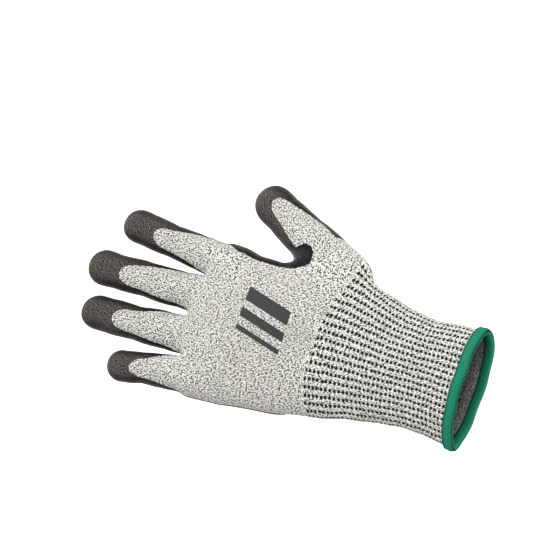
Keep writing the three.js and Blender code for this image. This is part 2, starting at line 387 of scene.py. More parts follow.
def settle_sideways(points, rounds=4):
    """Moves points onto the surface, each at its own height."""
    for _ in range(rounds):
        sideways = slope(points, axes=2)
        steepness = (sideways**2).sum(1, keepdims=True) + 1e-9
        points = points.copy()
        points[:, :2] -= sideways / steepness * glove_distance(points)[:, None]
    return points


# ------------------------------------------------------------------ surface of the whole glove


def surface_nets(values, origin, step):
    """A quad mesh of the zero surface of a grid of distances."""
    cells = np.array(values.shape) - 1
    total = np.zeros((*cells, 3), np.float32)
    count = np.zeros(cells, np.int32)
    crossings = []
    for axis in range(3):
        lower = np.take(values, range(values.shape[axis] - 1), axis)
        upper = np.take(values, range(1, values.shape[axis]), axis)
        places = np.argwhere((lower < 0) != (upper < 0))
        a, b = lower[tuple(places.T)], upper[tuple(places.T)]
        point = places.astype(np.float32)
        point[:, axis] += a / (a - b)
        others = ((axis + 1) % 3, (axis + 2) % 3)
        ring = []
        for first, second in ((-1, -1), (0, -1), (0, 0), (-1, 0)):
            cell = places.copy()
            cell[:, others[0]] += first
            cell[:, others[1]] += second
            fits = ((cell >= 0) & (cell < cells)).all(1)
            np.add.at(total, tuple(cell[fits].T), point[fits])
            np.add.at(count, tuple(cell[fits].T), 1)
            ring.append((cell, fits))
        crossings.append((ring, a < 0))
    index = np.full(cells, -1)
    used = count > 0
    index[used] = np.arange(used.sum())
    points = total[used] / count[used][:, None] * step + origin
    quads = []
    for ring, outward in crossings:
        whole = np.logical_and.reduce([fits for _, fits in ring])
        corners = np.stack([index[tuple(cell[whole].T)] for cell, _ in ring], 1)
        forward = outward[whole]
        quads.append(corners[forward])
        quads.append(corners[~forward][:, ::-1])
    return points.astype(float), np.concatenate(quads)


def glove_surface():
    """Points and quads of the hand and all limbs, from just above the wrist line down."""
    low, high = CAD_BOX
    lowest = np.array([low[0] - GRID_MARGIN, GRID_DEPTH[0], low[2] - GRID_MARGIN])
    highest = np.array([high[0] + GRID_MARGIN, GRID_DEPTH[1], WRIST_LINE + GRID_ABOVE_WRIST])
    sizes = np.ceil((highest - lowest) / GRID).astype(int)
    axes = [lowest[axis] + GRID * np.arange(sizes[axis]) for axis in range(3)]
    grid = np.stack(np.meshgrid(*axes, indexing="ij"), -1).reshape(-1, 3)
    values = np.concatenate([glove_distance(part) for part in np.array_split(grid, GRID_PARTS)])
    points, quads = surface_nets(values.reshape(sizes), lowest, GRID)
    return settle(points), quads


def wrist_line(x):
    bulge = np.clip(1 - (x / WRIST_LINE_HALF_WIDTH) ** 2, 0, 1)
    return WRIST_LINE + WRIST_LINE_SLANT * x - WRIST_LINE_BULGE * bulge


LIMB_REACH = 1.6  # no point belongs to a limb that is further out than this many half sizes
CUT_REACH = 1.5  # a limb's cuts reach this far out


def owner(points):
    """For each point, the number of the limb it belongs to, or -1 for the hand."""
    result = np.full(len(points), -1)
    nearest = np.full(len(points), LIMB_REACH)
    for number, limb in enumerate(LIMBS):
        across, palmward, along = limb.section(points)
        size = np.hypot(across, palmward)
        mine = (along > -limb.crotch - 1e-6) & (size < nearest)
        result[mine] = number
        nearest[mine] = size[mine]
    return result


def cut_by_planes(points, quads):
    """Cuts the surface along the planes that part one stretch of a limb from the next."""
    mesh = bpy.data.meshes.new("surface")
    mesh.from_pydata(points.tolist(), [], quads.tolist())
    work = bmesh.new()
    work.from_mesh(mesh)
    bpy.data.meshes.remove(mesh)
    for limb in LIMBS:
        for cut in limb.cuts:
            work.verts.ensure_lookup_table()
            places = np.array([vertex.co for vertex in work.verts])
            across, palmward, along = limb.section(places)
            near = (np.abs(along - cut) < 3 * GRID) & (np.hypot(across, palmward) < CUT_REACH)
            chosen = {work.verts[i] for i in np.flatnonzero(near)}
            faces = {face for vertex in chosen for face in vertex.link_faces}
            edges = {edge for face in faces for edge in face.edges}
            verts = {vertex for face in faces for vertex in face.verts}
            bmesh.ops.bisect_plane(
                work,
                geom=[*verts, *edges, *faces],
                plane_co=limb.start + limb.along * cut,
                plane_no=limb.along,
                dist=1e-7,
            )
    work.verts.ensure_lookup_table()
    places = np.array([vertex.co for vertex in work.verts])
    faces = [[vertex.index for vertex in face.verts] for face in work.faces]
    work.free()
    return places, faces


def clip_faces(faces, values):
    """Keeps the part of each face where values are positive.

    Returns the faces and, for each vertex they use, the two old vertices it lies between and how far
    along from the first to the second.
    """
    made = {}
    between = [(i, i, 0.0) for i in range(len(values))]
    kept = []
    for face in faces:
        inside = [values[i] > 0 for i in face]
        if all(inside):
            kept.append(list(face))
            continue
        if not any(inside):
            continue
        clipped = []
        for i, a in enumerate(face):
            following = (i + 1) % len(face)
            if inside[i]:
                clipped.append(a)
            if inside[i] != inside[following]:
                key = (min(a, face[following]), max(a, face[following]))
                if key not in made:
                    share = values[key[0]] / (values[key[0]] - values[key[1]])
                    made[key] = len(between)
                    between.append((*key, share))
                clipped.append(made[key])
        if len(clipped) > 2:
            kept.append(clipped)
    return kept, [np.array(column) for column in zip(*between)]


def at_clip(values, between):
    """Values at the vertices that clip_faces returns."""
    first, second, share = between
    if values.ndim > 1:
        share = share[:, None]
    return values[first] * (1 - share) + values[second] * share


# ------------------------------------------------------------------ meshes


def flatten(faces):
    sizes = np.array([len(face) for face in faces], np.int32)
    corners = np.fromiter((i for face in faces for i in face), np.int32, int(sizes.sum()))
    return corners, sizes


def boundary_edges(corners, sizes):
    """Directed edges that only one face uses."""
    starts = np.concatenate([[0], np.cumsum(sizes)[:-1]])
    following = np.arange(len(corners)) + 1
    following[starts + sizes - 1] = starts
    a, b = corners, corners[following]
    scale = int(corners.max()) + 1
    forward = a.astype(np.int64) * scale + b
    backward = b.astype(np.int64) * scale + a
    alone = ~np.isin(forward, backward)
    return np.stack([a[alone], b[alone]], 1)


def new_mesh(name, points, corners, sizes, corner_normals=None, knit=None):
    """An object from flat arrays of face corners, with its normals and its knit coordinates."""
    mesh = bpy.data.meshes.new(name)
    mesh.vertices.add(len(points))
    mesh.vertices.foreach_set("co", np.asarray(points, np.float32).ravel())
    mesh.loops.add(len(corners))
    mesh.loops.foreach_set("vertex_index", np.asarray(corners, np.int32))
    mesh.polygons.add(len(sizes))
    starts = np.concatenate([[0], np.cumsum(sizes)[:-1]]).astype(np.int32)
    mesh.polygons.foreach_set("loop_start", starts)
    mesh.update(calc_edges=True)
    mesh.polygons.foreach_set("use_smooth", np.ones(len(sizes), bool))
    if knit is not None:
        layer = mesh.attributes.new("knit", "FLOAT_VECTOR", "CORNER")
        layer.data.foreach_set("vector", np.asarray(knit, np.float32).ravel())
    if corner_normals is not None:
        mesh.normals_split_custom_set(corner_normals.tolist())
    piece = bpy.data.objects.new(name, mesh)
    bpy.context.scene.collection.objects.link(piece)
    return piece


def closed_shell(name, outside, inside, outside_normals, inside_normals, corners, sizes, knit):
    """A closed shell: faces on the outside, turned faces on the inside, and a rim at open edges."""
    count = len(outside)
    ends = np.cumsum(sizes)
    place = np.arange(len(corners)) - np.repeat(ends - sizes, sizes)
    turned = np.repeat(ends - 1, sizes) - place
    rim = boundary_edges(corners, sizes)
    rim_corners = np.stack([rim[:, 1], rim[:, 0], rim[:, 0] + count, rim[:, 1] + count], 1).ravel()
    edge = outside[rim[:, 1]] - outside[rim[:, 0]]
    rim_normals = np.cross(edge, outside_normals[rim[:, 0]])
    rim_normals /= np.linalg.norm(rim_normals, axis=1, keepdims=True) + 1e-12
    knit_at_point = np.zeros((count, 3))
    knit_at_point[corners] = knit
    all_points = np.concatenate([outside, inside])
    all_corners = np.concatenate([corners, corners[turned] + count, rim_corners])
    all_sizes = np.concatenate([sizes, sizes, np.full(len(rim), 4)])
    all_normals = np.concatenate([
        outside_normals[corners],
        inside_normals[corners[turned]],
        np.repeat(rim_normals, 4, axis=0),
    ])
    all_knit = np.concatenate([knit, knit[turned], knit_at_point[rim_corners % count]])
    return new_mesh(name, all_points, all_corners, all_sizes, all_normals, all_knit)


def shell(name, points, normals, faces, outer, inner, knit_at):
    """A closed shell on a surface, from `inner` to `outer` above it."""
    corners, sizes = flatten(faces)
    used, corners = np.unique(corners, return_inverse=True)
    rise = np.full(len(points), outer)[used, None]
    points, normals = points[used], normals[used]
    knit = knit_at(points, corners, sizes)
    outside, inside = points + rise * normals, points + inner * normals
    return closed_shell(name, outside, inside, normals, -normals, corners, sizes, knit)


# Unevenness of the film's edge: about how long its waves are, and how high
SADDLE_WAVES = (0.007, 0.0005)
HEEL_WAVES = (0.006, 0.0011)
HEEL_FINE_WAVES = (0.0017, 0.0008)
EDGE_WAVES = (0.0033, 0.00022)
EDGE_FINE_WAVES = (0.0011, 0.00022)


def edge_noise(points, length, height):
    x, y, z = (points * (2 * math.pi / length)).T
    waves = np.sin(x + 1.3 * y + 0.4) + np.sin(1.7 * z - 0.6 * x + 2.0) + np.sin(0.8 * z + 1.9 * y + 4.4)
    return height * waves / 3


# ------------------------------------------------------------------ knit coordinates


def arc_share(angle, aspect, power):
    """Share of a rounded section's edge passed at each angle from its back."""
    table_angle = np.linspace(-math.pi, math.pi, TURN_STEPS)
    across = signed_power(np.sin(table_angle), 2 / power) * aspect
    deep = signed_power(np.cos(table_angle), 2 / power)
    length = np.concatenate([[0], np.cumsum(np.hypot(np.diff(across), np.diff(deep)))])
    return np.interp(angle, table_angle, length / length[-1]) - 0.5


def highest_in_face(values, sizes):
    """For each face corner, the highest of the values at its face's corners."""
    face = np.repeat(np.arange(len(sizes)), sizes)
    highest = np.full(len(sizes), -np.inf)
    np.maximum.at(highest, face, values)
    return highest[face]


def unwrapped(around, sizes, period):
    """Closes the jump where the coordinate round a limb starts again."""
    span = highest_in_face(around, sizes) + highest_in_face(-around, sizes)
    return around + np.where((span > period / 2) & (around < 0), period, 0)


THUMB_SADDLE = (-0.0468, -0.002, -0.1204)  # the film lies thick and smooth on the web at the thumb
THUMB_SADDLE_RADIUS = 0.0083
THUMB_SADDLE_THICK = (-0.0060, 0.0020)  # its film thickens from outside its edge to inside it


def inside_saddle(points):
    distance = np.linalg.norm(points - np.array(THUMB_SADDLE), axis=1)
    return THUMB_SADDLE_RADIUS - distance + edge_noise(points, *SADDLE_WAVES)


def film_side(points, palmward, angle):
    """How far to the palm side a point lies, 0 to 1, and above 1 where the film is thick."""
    share = (palmward - np.cos(angle)) / 2
    thick = ramp(inside_saddle(points), *THUMB_SADDLE_THICK)
    return np.clip(share * 0.5 + 0.5, 0, 1) + 2 * thick


PALM_GIRTH = 0.196  # round the hand
PALM_ASPECT = 2.9  # its width over its depth
PALM_POWER = 2.5
PALM_FLAT = (0.70, 0.94)  # shares of the half width where the flat of the hand turns into its edge
PALM_FLAT_HEIGHTS = (-0.168, -0.150)  # and heights over which that ends, above the fingers' roots
THUMB_KNIT_FROM = -1.03  # past this share of the half width the stitches run along the thumb


def hand_knit(points, corners, sizes):
    """Knit coordinates of the hand: around, along, and how far to the palm side (1) it lies."""
    centre, width, back, palm, thumb_power, little_power = sleeve_shape(points[:, 2])
    behind = points[:, 1] < 0
    share = (points[:, 0] - centre) / width
    palmward = points[:, 1] / np.where(behind, back, palm)
    half_power = np.where(share < 0, thumb_power, little_power) / 2
    angle = np.arctan2(signed_power(share, half_power), signed_power(-palmward, half_power))
    flat = np.arcsin(signed_power(np.clip(share, -1, 1), half_power))
    flat = np.where(behind, flat, np.sign(share) * math.pi - flat)
    edge = np.maximum(ramp(np.abs(share), *PALM_FLAT), ramp(points[:, 2], *PALM_FLAT_HEIGHTS))
    angle = flat + (angle - flat) * edge
    around = PALM_GIRTH * arc_share(angle, PALM_ASPECT, PALM_POWER)
    around = unwrapped(around[corners], sizes, PALM_GIRTH)
    across_hand = np.stack([around, points[corners, 2]], 1)
    along_thumb = limb_knit(THUMB)(points, corners, sizes)[:, :2]
    on_thumb = highest_in_face(share[corners], sizes) < THUMB_KNIT_FROM
    side = film_side(points, palmward, angle)[corners]
    return np.column_stack([np.where(on_thumb[:, None], along_thumb, across_hand), side])


def limb_knit(limb):
    """The function that works out a limb's knit coordinates, as hand_knit does for the hand."""
    def knit(points, corners, sizes):
        across, palmward, along = limb.section(points)
        girth = math.pi * (limb.width[0] + limb.depth[0])
        angle = np.arctan2(across, -palmward)
        around = unwrapped((girth * arc_share(angle, 1, 2))[corners], sizes, girth)
        side = film_side(points, palmward, angle)
        return np.stack([around, -along[corners], side[corners]], 1)

    return knit


# ------------------------------------------------------------------ where the glove was dipped


# Where the knit stays bare on a limb's back: angles from the middle of the back to the film on the
# little finger's side and on the thumb's side, at the limb's root and near its tip
FINGER_BARE = np.radians([[62, 82], [44, 33]])
THUMB_BARE = np.radians([[40, 72], [17, 46]])


def limb_dip(points, limb):
    """Distance inside the dipped region of a limb: all but a round-ended tongue on its back."""
    across, palmward, along = limb.local(points)
    width, depth = limb.half_sizes(along)
    angle = np.arctan2(across / width, -palmward / depth)
    at_root, at_tip = THUMB_BARE if limb is THUMB else FINGER_BARE
    round_start = limb.length - TIP_DIP[limb.name] - BARE_END
    share = np.clip((along + limb.crotch) / (round_start + limb.crotch), 0, 1)
    little_side, thumb_side = (at_root[i] * (1 - share) + at_tip[i] * share for i in (0, 1))
    half = (little_side + thumb_side) / 2
    middle = (little_side - thumb_side) / 2
    past = np.maximum(along - round_start, 0) / BARE_END
    return (np.hypot((angle - middle) / half, past) - 1) * half * (width + depth) / 2


PALM_DIP_EDGE = 0.0012
INDEX_SIDE_DIP = 0.0066  # the film reaches further back between index finger and thumb
INDEX_SIDE = (0.030, 0.040)  # it starts to over these distances from the middle of the hand
INDEX_SIDE_TOP = (0.112, 0.124)  # and over these depths under the cuff mouth
INDEX_SIDE_END = (-0.174, -0.157)  # and ends over these heights
HEEL_ROUNDING = 0.006
SADDLE_ROUNDING = 0.003
FINGER_DIP_FROM = 0.016  # the film's edge turns into the finger's from this far above its first fold
THUMB_DIP_FROM = 0.022
DIP_TURNED = 0.004  # and has turned by this far above it
LIMB_DIP_REACH = (-1.65, -1.2)  # half sizes from a limb's middle, over which its own edge fades in


def hand_dip(points):
    x, y, z = points.T
    thumb_side = ramp(-x, *INDEX_SIDE) * ramp(-z, *INDEX_SIDE_TOP) * ramp(z, *INDEX_SIDE_END)
    side = y + PALM_DIP_EDGE + INDEX_SIDE_DIP * thumb_side
    heel = HEEL_HEIGHT - z + edge_noise(points, *HEEL_WAVES) + edge_noise(points, *HEEL_FINE_WAVES)
    return smooth_min(side, heel, HEEL_ROUNDING)


def dip(points):
    """Distance inside the dipped region, positive where the glove was dipped."""
    depth = hand_dip(points)
    for limb in LIMBS:
        across, palmward, along = limb.section(points)
        near = ramp(-np.hypot(across, palmward), *LIMB_DIP_REACH)
        far = THUMB_DIP_FROM if limb is THUMB else FINGER_DIP_FROM
        share = ramp(along, -far, -DIP_TURNED) * near
        depth = depth * (1 - share) + limb_dip(points, limb) * share
    depth = smooth_max(depth, inside_saddle(points), SADDLE_ROUNDING)
    return depth + edge_noise(points, *EDGE_WAVES) + edge_noise(points, *EDGE_FINE_WAVES)


# ------------------------------------------------------------------ pieces of knit and film


STRETCH_NAMES = ("root", "middle", "tip")


def glove_pieces():
    """Limb or None for the hand, stretch, knit and film, for the hand and each stretch of a limb."""
    points, faces = cut_by_planes(*glove_surface())
    faces, between = clip_faces(faces, wrist_line(points[:, 0]) - points[:, 2])
    points = at_clip(points, between)
    normals = gradient(points)
    centres = np.array([points[face].mean(0) for face in faces])
    owners = owner(centres)
    depth = dip(points)
    groups = [(None, 0, owners < 0)]
    for number, limb in enumerate(LIMBS):
        along = limb.local(centres)[2]
        edges = [*limb.cuts, np.inf]
        for stretch, (low, high) in enumerate(zip(edges, edges[1:])):
            groups.append((limb, stretch, (owners == number) & (along > low) & (along <= high)))
    for limb, stretch, mine in groups:
        chosen = [faces[i] for i in np.flatnonzero(mine)]
        yield limb, stretch, *knit_and_film(limb, stretch, points, normals, chosen, depth)


def knit_and_film(limb, stretch, points, normals, faces, depth):
    knit_at = limb_knit(limb) if limb else hand_knit
    title = f"{limb.name}_{STRETCH_NAMES[stretch]}" if limb else "hand"
    knit = shell(f"{title}_knit", points, normals, faces, 0.0, -KNIT_WALL, knit_at)
    dipped, between = clip_faces(faces, depth)
    film_normals = at_clip(normals, between)
    film_normals /= np.linalg.norm(film_normals, axis=1, keepdims=True)
    thickening = ramp(at_clip(depth, between), 0, FILM_FEATHER)
    rise = FILM_EDGE_STEP + (FILM_STEP - FILM_EDGE_STEP) * thickening
    film_points = at_clip(points, between)
    film = shell(f"{title}_film", film_points, film_normals, dipped, rise, -FILM_SINK, knit_at)
    return knit, film


# ------------------------------------------------------------------ cuff


def even_ring(height, count):
    """Evenly spaced points round the sleeve at a height, with their outward directions."""
    centre, width, back, palm, thumb_power, little_power = sleeve_shape(height)
    angle = np.linspace(0, 2 * math.pi, TURN_STEPS)
    across, deep = np.cos(angle), np.sin(angle)
    power = np.where(across < 0, thumb_power, little_power)
    x = centre + width * signed_power(across, 2 / power)
    y = np.where(deep < 0, back, palm) * signed_power(deep, 2 / power)
    length = np.concatenate([[0], np.cumsum(np.hypot(np.diff(x), np.diff(y)))])
    places = np.linspace(0, length[-1], count, endpoint=False)
    ring = np.stack([np.interp(places, length, x), np.interp(places, length, y)], 1)
    tangent = np.roll(ring, -1, axis=0) - np.roll(ring, 1, axis=0)
    tangent /= np.linalg.norm(tangent, axis=1, keepdims=True)
    return ring, np.stack([tangent[:, 1], -tangent[:, 0]], 1)


def tube_faces(rows, columns, closed=False):
    """Quads of a tube's grid, rows running along it. A closed tube's last row meets its first."""
    steps = np.arange(rows if closed else rows - 1)
    row, column = np.meshgrid(steps, np.arange(columns), indexing="ij")
    following = (column + 1) % columns
    here, below = row * columns, (row + 1) % rows * columns
    quads = [here + column, here + following, below + following, below + column]
    return np.stack(quads, -1).reshape(-1, 4)


def mesh_normals(points, quads):
    """Smooth normals of a quad mesh."""
    p = points[quads]
    face = np.cross(p[:, 2] - p[:, 0], p[:, 3] - p[:, 1])
    total = np.zeros_like(points)
    for corner in range(4):
        np.add.at(total, quads[:, corner], face)
    return total / (np.linalg.norm(total, axis=1, keepdims=True) + 1e-15)


RIB_RELIEF = 0.00032
RIB_SWAY = 0.03  # the ribs run a little unevenly, in rows
EYELET_DEPTH = 0.00085
EYELET_SIZE = (0.23, 0.33)  # across and along, in rows and in eyelets
EYELET_JITTER = 0.10
CUFF_TOP_GAP = 0.0004  # the rib ends this far under the top of the binding's inside
CUFF_OVERLAP = 0.0012  # the rib reaches this far over the plain knit
CUFF_BELOW_LINE = 0.004  # its rings are taken from the sleeve down to this far under the wrist line
CUFF_START = (0.0005, 0.0025)  # depths under the cuff mouth over which rib and eyelets begin
CUFF_FINISH = 0.0016  # length over which they end


def eyelet_pattern(knit, rows):
    """For each point of the cuff: how deep in an eyelet it lies, 0 to 1, and the rib's height."""
    around = knit[:, 0] + RIB_SWAY * np.sin(knit[:, 1] * 1.1 + knit[:, 0] * 2.3)
    along = knit[:, 1] + EYELET_SLANT * np.floor(knit[:, 0])
    random = np.random.default_rng(SEED)
    cells = (EYELET_ROWS + 1, rows // CELLS_ALONG + 8, 2)
    jitter = random.uniform(-EYELET_JITTER, EYELET_JITTER, cells)
    row = np.clip(np.floor(knit[:, 0]), 0, EYELET_ROWS).astype(int)
    offset = jitter[row, np.floor(along).astype(int)]
    a = ((around % 1) - 0.5 - offset[:, 0] * 0.5) / EYELET_SIZE[0]
    b = ((along % 1) - 0.5 - offset[:, 1]) / EYELET_SIZE[1]
    eyelet = np.exp(-((a**2 + b**2) ** 1.5))
    bead = 0.75 + 0.25 * np.cos(2 * math.pi * (along + 0.5))
    return eyelet, RIB_RELIEF * (0.5 + 0.5 * np.cos(2 * math.pi * around)) * bead


def make_cuff():
    """The ribbed cuff as a fine grid with real ribs and eyelets, and a plain inside."""
    columns = EYELET_ROWS * CELLS_ROUND
    top = -BINDING_WALL
    edge = top - CUFF_TOP_GAP + binding_wave(np.arange(columns) / columns)
    bottom = WRIST_LINE - WRIST_LINE_BULGE - CUFF_BELOW_LINE
    rows = int(round((top - bottom) / EYELET_PITCH * CELLS_ALONG))
    points, knit = [], []
    for row in range(rows):
        share = row / (rows - 1)
        ring, _ = even_ring(top + (bottom - top) * share, columns)
        limit = wrist_line(ring[:, 0]) - CUFF_OVERLAP
        height = edge + (limit - edge) * share
        points.append(np.column_stack([ring, height]))
        count = [np.arange(columns) / CELLS_ROUND, np.full(columns, row / CELLS_ALONG)]
        knit.append(np.column_stack([*count, height]))
    points, knit = settle_sideways(np.concatenate(points)), np.concatenate(knit)
    quads = tube_faces(rows, columns)[:, ::-1]
    normals = mesh_normals(points, quads)
    eyelet, rib = eyelet_pattern(knit, rows)
    start = ramp(-knit[:, 2], *CUFF_START)
    finish = ramp(knit[:, 2] - wrist_line(points[:, 0]), 0, CUFF_FINISH)
    eyelet = eyelet * start
    outside = points + normals * ((rib - EYELET_DEPTH * eyelet) * finish * start)[:, None]
    inside = points - normals * KNIT_WALL
    corners, sizes = quads.ravel(), np.full(len(quads), 4)
    outside_normals = mesh_normals(outside, quads)
    inside_normals = -mesh_normals(inside, quads)
    cuff = closed_shell(
        "cuff_rib_knit", outside, inside, outside_normals, inside_normals, corners, sizes, knit[corners]
    )
    # the eyelet attribute holds how deep each eyelet lies, for the painted shade of the eyelets, and -1
    # on the inside, for the painted shade inside the cuff
    layer = cuff.data.attributes.new("eyelet", "FLOAT", "POINT")
    shown = np.concatenate([eyelet * finish, np.full(len(eyelet), -1.0)])  # -1 marks the inside
    layer.data.foreach_set("value", shown.astype(np.float32))
    return cuff


# ------------------------------------------------------------------ binding and its stitches


BINDING_SLACK = 0.0003  # between the tape and the knit
BINDING_OUT = BINDING_WALL + BINDING_SLACK
BINDING_IN = -KNIT_WALL - BINDING_SLACK - BINDING_WALL
BINDING_SWELL = 0.00025
BINDING_RIB_HEIGHT = 0.00022
BINDING_FINENESS = 5  # mesh columns for each rib
BINDING_ROW = 0.0008  # length of tape that one row of its mesh stands for in the weave
BINDING_WAVES = ((3, 0.6, 0.00045), (7, 2.1, 0.00025))  # times round the cuff, phase and height
BINDING_WAVE_FADE = 0.4  # the tape's lower edges wave less by this share
RIM_RADIUS = (BINDING_OUT - BINDING_IN) / 2
RIM_MIDDLE = (BINDING_OUT + BINDING_IN) / 2
RIM_ROW_TILT = math.radians(62)
STITCH_RISE = 0.0001  # above the tape
LOWER_STITCHES_OUTSIDE = -0.0056
LOWER_STITCHES_INSIDE = -0.0042
STITCH_ROWS = {  # each stitch row: (outward growth, height, tilt of the surface)
    "upper": [(
        RIM_MIDDLE + (RIM_RADIUS + STITCH_RISE) * math.cos(RIM_ROW_TILT),
        -RIM_RADIUS + (RIM_RADIUS + STITCH_RISE) * math.sin(RIM_ROW_TILT),
        RIM_ROW_TILT,
    )],
    "lower": [
        (BINDING_OUT + STITCH_RISE, LOWER_STITCHES_OUTSIDE, 0.0),
        (BINDING_IN - STITCH_RISE, LOWER_STITCHES_INSIDE, math.pi),
    ],
}
THREAD_SECTIONS = 7
THREAD_SIDES = 6
THREAD_THINNEST = 0.02  # at a stitch's ends, as a share of the square of its radius
TAPE_POINTS = 12  # of the section's outside, and as many round the rim
TAPE_POINTS_INSIDE = 11
TAPE_POINTS_HIDDEN = 5
TAPE_FOLD_IN = 0.0003


def binding_wave(share):
    """The slight waviness of the sewn edge, round the cuff."""
    turn = 2 * math.pi * share
    waves = sum(height * np.sin(times * turn + phase) for times, phase, height in BINDING_WAVES)
    return PALM_RIM_RISE * np.sin(turn) + waves


def binding_ring(height, grow, count):
    """Points round the sewn edge, moved outwards from the sleeve, and their outward directions."""
    ring, outward = even_ring(height, count)
    wave = binding_wave(np.arange(count) / count) * (1 + height / BINDING_HEIGHT * BINDING_WAVE_FADE)
    return np.column_stack([ring + outward * grow, height + wave]), outward


def binding_profile():
    """The tape's section as (outward growth, height), and how many of its points are outside."""
    profile = []
    for height in np.linspace(-BINDING_HEIGHT, -RIM_RADIUS, TAPE_POINTS):
        swell = BINDING_SWELL * math.sin(math.pi * height / BINDING_HEIGHT + 3.0)
        profile.append((BINDING_OUT + swell, height))
    for angle in np.linspace(0, math.pi, TAPE_POINTS)[1:-1]:
        across, up = RIM_RADIUS * math.cos(angle), RIM_RADIUS * math.sin(angle)
        profile.append((RIM_MIDDLE + across, -RIM_RADIUS + up))
    for height in np.linspace(-RIM_RADIUS, -BINDING_INSIDE, TAPE_POINTS_INSIDE):
        profile.append((BINDING_IN, height))
    outside = len(profile)
    profile.append((BINDING_IN + BINDING_WALL * 0.7, -BINDING_INSIDE - TAPE_FOLD_IN))
    for height in np.linspace(-BINDING_INSIDE, -RIM_RADIUS, TAPE_POINTS_HIDDEN):
        profile.append((BINDING_IN + BINDING_WALL, height))
    for height in np.linspace(-RIM_RADIUS, -BINDING_HEIGHT * 0.95, TAPE_POINTS_HIDDEN):
        profile.append((BINDING_OUT - BINDING_WALL, height))
    return profile, outside


def make_binding():
    """The tape folded over the cuff's edge: a closed band with cross ribs."""
    columns = BINDING_RIBS * BINDING_FINENESS
    profile, outside = binding_profile()
    points = np.concatenate([binding_ring(height, grow, columns)[0] for grow, height in profile])
    quads = tube_faces(len(profile), columns, closed=True)
    row = np.arange(len(points)) // columns
    rib = np.tile(np.arange(columns) / columns, len(profile)) * BINDING_RIBS
    rise = BINDING_RIB_HEIGHT / 2 * np.cos(2 * math.pi * rib) * (row < outside)
    points = points + mesh_normals(points, quads) * rise[:, None]
    corners = quads.ravel()
    normals = mesh_normals(points, quads)[corners]
    knit = np.stack([rib, row * BINDING_ROW, 0 * row], 1)[corners]
    return new_mesh("cuff_binding_tape", points, corners, np.full(len(quads), 4), normals, knit)


def make_stitches(name, rows):
    """Short stitches round the binding, each row at (outward growth, height, tilt of its normal)."""
    up = np.array([0, 0, 1.0])
    turns = np.arange(THREAD_SIDES) * 2 * math.pi / THREAD_SIDES
    cap = list(range(THREAD_SIDES))
    last = [(THREAD_SECTIONS - 1) * THREAD_SIDES + i for i in cap]
    one_stitch = [*tube_faces(THREAD_SECTIONS, THREAD_SIDES).tolist(), cap[::-1], last]
    points, faces = [], []
    for grow, height, tilt in rows:
        for centre, outward in zip(*binding_ring(height, grow, STITCHES)):
            out = np.array([*outward, 0.0])
            normal = out * math.cos(tilt) + up * math.sin(tilt)
            tangent = np.array([-outward[1], outward[0], 0.0])
            run = unit(tangent * STITCH_SLANT + up * math.cos(tilt) - out * math.sin(tilt))
            side = np.cross(normal, run)
            faces += [[len(points) + i for i in face] for face in one_stitch]
            for t in np.linspace(-1, 1, THREAD_SECTIONS):
                thick = STITCH_RADIUS * math.sqrt(max(1 - t * t, THREAD_THINNEST))
                middle = centre + run * (t * STITCH_HALF_LENGTH) - normal * (STITCH_RADIUS * t * t)
                for turn in turns:
                    points.append(middle + (normal * math.cos(turn) + side * math.sin(turn)) * thick)
    return new_mesh(name, np.array(points), *flatten(faces))


# ------------------------------------------------------------------ generic mark


MARK_CENTRE = (-0.002, -0.128)  # across and up
MARK_SLANT = 0.28
MARK_BARS = (  # offset across the hand, half width, half length
    (-0.0125, 0.0040, 0.0150),
    (-0.0015, 0.0026, 0.0150),
    (0.0072, 0.0014, 0.0150),
)
MARK_STEP = 0.0005
MARK_START = -0.0145  # about where the back of the hand is
MARK_RISE = 0.00008
MARK_SETTLING = 8  # rounds in which it comes down onto the knit


def make_mark():
    """A plain generic mark on the back of the hand: three parallel bars of falling width."""
    points, faces = [], []
    for offset, half_width, half_length in MARK_BARS:
        columns = int(2 * half_width / MARK_STEP) + 2
        rows = int(2 * half_length / MARK_STEP) + 2
        u = np.linspace(-half_width, half_width, columns)
        v = np.linspace(-half_length, half_length, rows)
        u, v = (grid.ravel() for grid in np.meshgrid(u, v, indexing="ij"))
        x = MARK_CENTRE[0] + offset + u + MARK_SLANT * v
        bar = np.stack([x, np.full(x.size, MARK_START), MARK_CENTRE[1] + v], 1)
        for _ in range(MARK_SETTLING):
            bar[:, 1] += glove_distance(bar)
        i, j = np.meshgrid(np.arange(columns - 1), np.arange(rows - 1), indexing="ij")
        first = (i * rows + j).ravel() + sum(map(len, points))
        faces.append(np.stack([first, first + rows, first + rows + 1, first + 1], 1))
        points.append(bar)
    points, faces = np.concatenate(points), np.concatenate(faces).tolist()
    return shell("back_mark", points, gradient(points), faces, MARK_RISE, -MARK_RISE, hand_knit)


# ------------------------------------------------------------------ materials


class Value:
    """The output of a node, with the usual arithmetic. Every operation adds a math node."""

    def __init__(self, nodes, socket):
        self.nodes = nodes
        self.socket = socket

    def __add__(self, other):
        return self.nodes.math("ADD", self, other)

    def __sub__(self, other):
        return self.nodes.math("SUBTRACT", self, other)

    def __rsub__(self, other):
        return self.nodes.math("SUBTRACT", other, self)

    def __mul__(self, other):
        return self.nodes.math("MULTIPLY", self, other)

    def __truediv__(self, other):
        return self.nodes.math("DIVIDE", self, other)

    def __pow__(self, other):
        return self.nodes.math("POWER", self, other)


